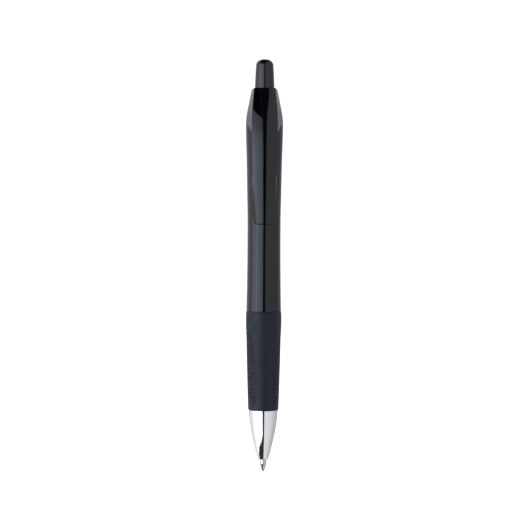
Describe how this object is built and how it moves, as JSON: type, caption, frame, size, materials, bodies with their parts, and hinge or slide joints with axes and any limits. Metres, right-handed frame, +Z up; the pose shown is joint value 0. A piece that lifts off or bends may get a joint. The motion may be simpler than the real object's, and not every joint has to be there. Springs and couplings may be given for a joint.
{
  "type": "retractable gel pen",
  "caption": "Slim click gel pen with a waisted gloss barrel, integral shoulder clip, ribbed rubber grip, plated nose cone and retracting refill.",
  "frame": {"origin": "the writing point: the lowest point of the ball, on the pen's axis, with the tip out", "axes": "+Z up the pen's axis towards the push button; the pocket clip is on the -Y side; +X is to the right when facing the clip"},
  "size_m": [0.0128, 0.0159, 0.1417],
  "materials": {
    "black_barrel": "polished black plastic",
    "black_button": "polished black plastic",
    "black_rubber": "matte black moulded rubber",
    "plated_nose": "bright plated",
    "white_mechanism": "natural white moulded plastic",
    "clear_tube": "translucent extruded plastic",
    "clear_holder": "translucent moulded plastic",
    "clear_grease": "translucent grease",
    "black_ink": "wet black gel",
    "steel_tip": "turned stainless steel",
    "steel_ball": "polished hard ball",
    "spring_wire": "drawn spring wire"
  },
  "bodies": {
    "barrel": {"barrel": "black_barrel", "clip_cap": "black_barrel", "rubber_grip": "black_rubber", "nose_cone": "plated_nose", "guide_sleeve": "white_mechanism", "return_spring": "spring_wire"},
    "clip": {"pocket_clip": "black_barrel"},
    "button": {"push_button": "black_button", "thrust_plunger": "white_mechanism"},
    "refill": {"refill_tube": "clear_tube", "refill_tail_plug": "white_mechanism", "gel_ink": "black_ink", "ink_follower": "clear_grease", "tip_holder": "clear_holder", "metal_tip": "steel_tip", "ball_spring": "spring_wire"},
    "rotor": {"rotor_cam": "white_mechanism"},
    "check_ball": {"check_ball": "steel_ball"},
    "writing_ball": {"writing_ball": "steel_ball"}
  },
  "joints": [
    {"name": "button_slide", "type": "slide", "parent": "barrel", "child": "button", "axis": [0, 0, 1], "range_m": [-0.0015, 0.005], "stiffness_N_per_m": 250},
    {"name": "refill_slide", "type": "slide", "parent": "barrel", "child": "refill", "axis": [0, 0, 1], "range_m": [-0.0015, 0.005], "deforming": ["return_spring"]},
    {"name": "rotor_turn", "type": "hinge", "parent": "refill", "child": "rotor", "pos_m": [0, 0, 0.111], "axis": [0, 0, 1], "continuous": true},
    {"name": "check_ball_lift", "type": "slide", "parent": "refill", "child": "check_ball", "axis": [0, 0, 1], "range_m": [0, 0.001]},
    {"name": "ball_roll", "type": "hinge", "parent": "refill", "child": "writing_ball", "pos_m": [0, 0, 0.00035], "axis": [1, 0, 0], "continuous": true},
    {"name": "clip_flex", "type": "hinge", "parent": "barrel", "child": "clip", "pos_m": [0, -0.0089, 0.1165], "axis": [-1, 0, 0], "range_deg": [0, 4], "stiffness_Nm_per_rad": 0.5}
  ],
  "couplings": [
    {"joint": "refill_slide", "follows": "button_slide", "ratio": 1}
  ]
}
